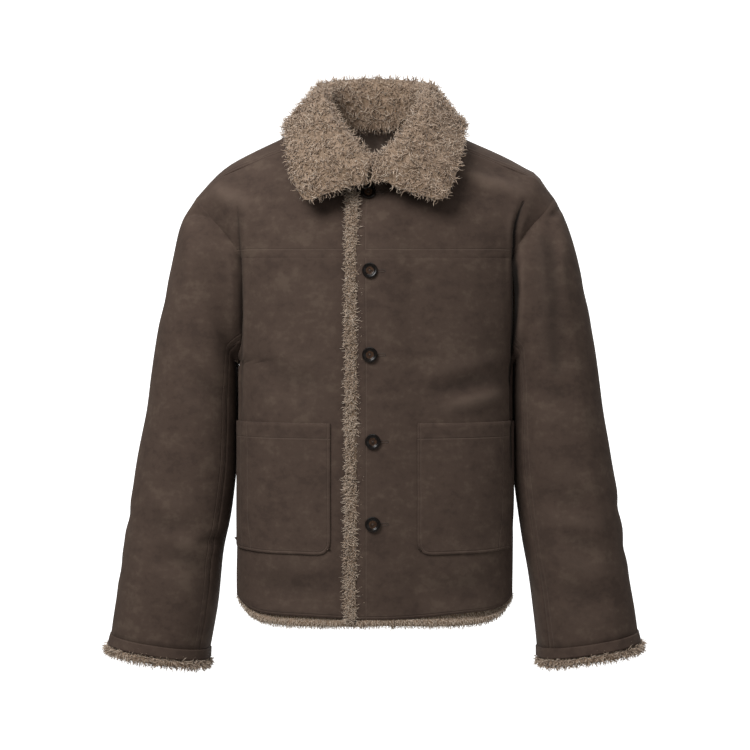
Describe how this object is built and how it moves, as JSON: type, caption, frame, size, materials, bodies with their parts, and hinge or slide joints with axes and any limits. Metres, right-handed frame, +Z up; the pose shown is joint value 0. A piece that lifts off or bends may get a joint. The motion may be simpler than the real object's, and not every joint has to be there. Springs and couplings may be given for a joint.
{
  "type": "jacket",
  "caption": "Button-front sherpa jacket in worn form: hollow suede-faced cloth body and sleeves, fold-over pile collar, patch pockets, pile showing at cuffs and hem.",
  "frame": {"origin": "middle of the neck, at the height where the shoulder seams reach the collar", "axes": "+Z up, along the jacket's length; the closing front faces -Y; +X is to the right of someone facing the front"},
  "size_m": [0.7527, 0.2835, 0.8334],
  "materials": {
    "suede_cloth": "matt suede nap",
    "facing_cloth": "matt woven",
    "curly_pile": "curly wool-like pile",
    "dark_horn": "satin horn"
  },
  "bodies": {
    "root": {"front_right": "suede_cloth", "front_left": "suede_cloth", "yoke_right": "suede_cloth", "yoke_left": "suede_cloth", "back": "suede_cloth", "sleeve_top_right": "suede_cloth", "sleeve_under_right": "suede_cloth", "sleeve_top_left": "suede_cloth", "sleeve_under_left": "suede_cloth", "cuff_band_right": "suede_cloth", "cuff_band_left": "suede_cloth", "collar_under": "suede_cloth", "pocket_right": "suede_cloth", "pocket_left": "suede_cloth", "collar_pile": "curly_pile", "front_edge_pile": "curly_pile", "hem_pile": "curly_pile", "cuff_pile_right": "curly_pile", "cuff_pile_left": "curly_pile", "neck_facing": "facing_cloth", "button_1": "dark_horn", "button_2": "dark_horn", "button_3": "dark_horn", "button_4": "dark_horn", "button_5": "dark_horn"}
  },
  "joints": []
}
